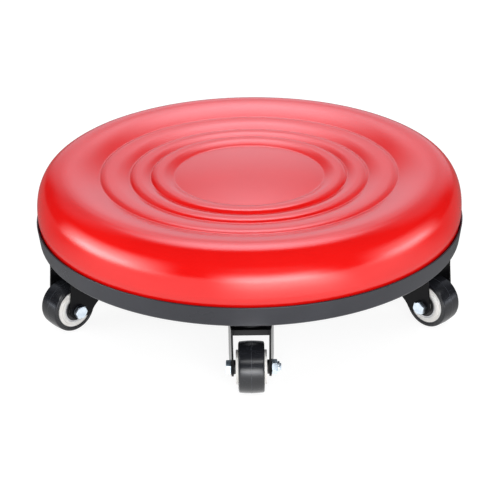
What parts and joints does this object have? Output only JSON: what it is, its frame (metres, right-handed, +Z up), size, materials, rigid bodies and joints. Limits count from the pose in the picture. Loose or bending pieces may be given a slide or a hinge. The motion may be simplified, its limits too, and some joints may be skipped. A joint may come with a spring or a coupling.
{
  "type": "creeper seat",
  "caption": "Low rolling creeper seat: a round dished cushion moulded with concentric rings, in a pressed steel tray on swivel casters.",
  "frame": {"origin": "on the floor under the middle of the tray", "axes": "+Z up along the tray's axis, -Y towards the front caster, +X to the right seen from the front"},
  "size_m": [0.3535, 0.358, 0.1202],
  "materials": {
    "red_skin": "satin moulded red skin, soft and seamless",
    "foam": "open cell cushion foam",
    "plywood": "raw birch plywood",
    "zinc": "bright zinc plating, faintly blue",
    "tray_paint": "satin black powder coat",
    "black_steel": "black coated pressed steel",
    "ball_steel": "polished bearing steel",
    "bright_steel": "turned steel",
    "dark_plastic": "dark moulded washer",
    "cream_plastic": "cream white moulded nylon",
    "tyre_rubber": "smooth black tread with a silky sheen"
  },
  "bodies": {
    "seat": {"seat_skin": "red_skin", "seat_foam": "foam", "seat_board": "plywood", "tee_nuts": "zinc", "seat_tray": "tray_paint", "plate_screws": "zinc", "kingpins": "bright_steel", "front_plate": "black_steel", "left_plate": "black_steel", "right_plate": "black_steel", "rear_left_plate": "black_steel", "rear_right_plate": "black_steel"},
    "front_caster": {"front_fork": "black_steel", "front_race_balls": "ball_steel", "front_axle_bolt": "zinc", "front_axle_nut": "zinc", "front_spacers": "dark_plastic", "front_sleeve": "bright_steel"},
    "front_wheel": {"front_hub": "cream_plastic", "front_tyre": "tyre_rubber", "front_bearings": "bright_steel"},
    "left_caster": {"left_fork": "black_steel", "left_race_balls": "ball_steel", "left_axle_bolt": "zinc", "left_axle_nut": "zinc", "left_spacers": "dark_plastic", "left_sleeve": "bright_steel"},
    "left_wheel": {"left_hub": "cream_plastic", "left_tyre": "tyre_rubber", "left_bearings": "bright_steel"},
    "right_caster": {"right_fork": "black_steel", "right_race_balls": "ball_steel", "right_axle_bolt": "zinc", "right_axle_nut": "zinc", "right_spacers": "dark_plastic", "right_sleeve": "bright_steel"},
    "right_wheel": {"right_hub": "cream_plastic", "right_tyre": "tyre_rubber", "right_bearings": "bright_steel"},
    "rear_left_caster": {"rear_left_fork": "black_steel", "rear_left_race_balls": "ball_steel", "rear_left_axle_bolt": "zinc", "rear_left_axle_nut": "zinc", "rear_left_spacers": "dark_plastic", "rear_left_sleeve": "bright_steel"},
    "rear_left_wheel": {"rear_left_hub": "cream_plastic", "rear_left_tyre": "tyre_rubber", "rear_left_bearings": "bright_steel"},
    "rear_right_caster": {"rear_right_fork": "black_steel", "rear_right_race_balls": "ball_steel", "rear_right_axle_bolt": "zinc", "rear_right_axle_nut": "zinc", "rear_right_spacers": "dark_plastic", "rear_right_sleeve": "bright_steel"},
    "rear_right_wheel": {"rear_right_hub": "cream_plastic", "rear_right_tyre": "tyre_rubber", "rear_right_bearings": "bright_steel"}
  },
  "joints": [
    {"name": "front_swivel", "type": "hinge", "parent": "seat", "child": "front_caster", "pos_m": [0, -0.144, 0.0569], "axis": [0, 0, 1], "continuous": true},
    {"name": "front_roll", "type": "hinge", "parent": "front_caster", "child": "front_wheel", "pos_m": [0, -0.161, 0.0202], "axis": [1, 0, 0], "continuous": true},
    {"name": "left_swivel", "type": "hinge", "parent": "seat", "child": "left_caster", "pos_m": [-0.13695, -0.0445, 0.0569], "axis": [0, 0, 1], "continuous": true},
    {"name": "left_roll", "type": "hinge", "parent": "left_caster", "child": "left_wheel", "pos_m": [-0.14976, -0.05567, 0.0202], "axis": [0.6574, -0.7536, 0], "continuous": true},
    {"name": "right_swivel", "type": "hinge", "parent": "seat", "child": "right_caster", "pos_m": [0.13695, -0.0445, 0.0569], "axis": [0, 0, 1], "continuous": true},
    {"name": "right_roll", "type": "hinge", "parent": "right_caster", "child": "right_wheel", "pos_m": [0.14924, -0.05624, 0.0202], "axis": [0.6909, 0.723, 0], "continuous": true},
    {"name": "rear_left_swivel", "type": "hinge", "parent": "seat", "child": "rear_left_caster", "pos_m": [-0.08464, 0.1165, 0.0569], "axis": [0, 0, 1], "continuous": true},
    {"name": "rear_left_roll", "type": "hinge", "parent": "rear_left_caster", "child": "rear_left_wheel", "pos_m": [-0.09936, 0.125, 0.0202], "axis": [-0.5, -0.866, 0], "continuous": true},
    {"name": "rear_right_swivel", "type": "hinge", "parent": "seat", "child": "rear_right_caster", "pos_m": [0.08464, 0.1165, 0.0569], "axis": [0, 0, 1], "continuous": true},
    {"name": "rear_right_roll", "type": "hinge", "parent": "rear_right_caster", "child": "rear_right_wheel", "pos_m": [0.09906, 0.12551, 0.0202], "axis": [-0.5299, 0.848, 0], "continuous": true}
  ]
}
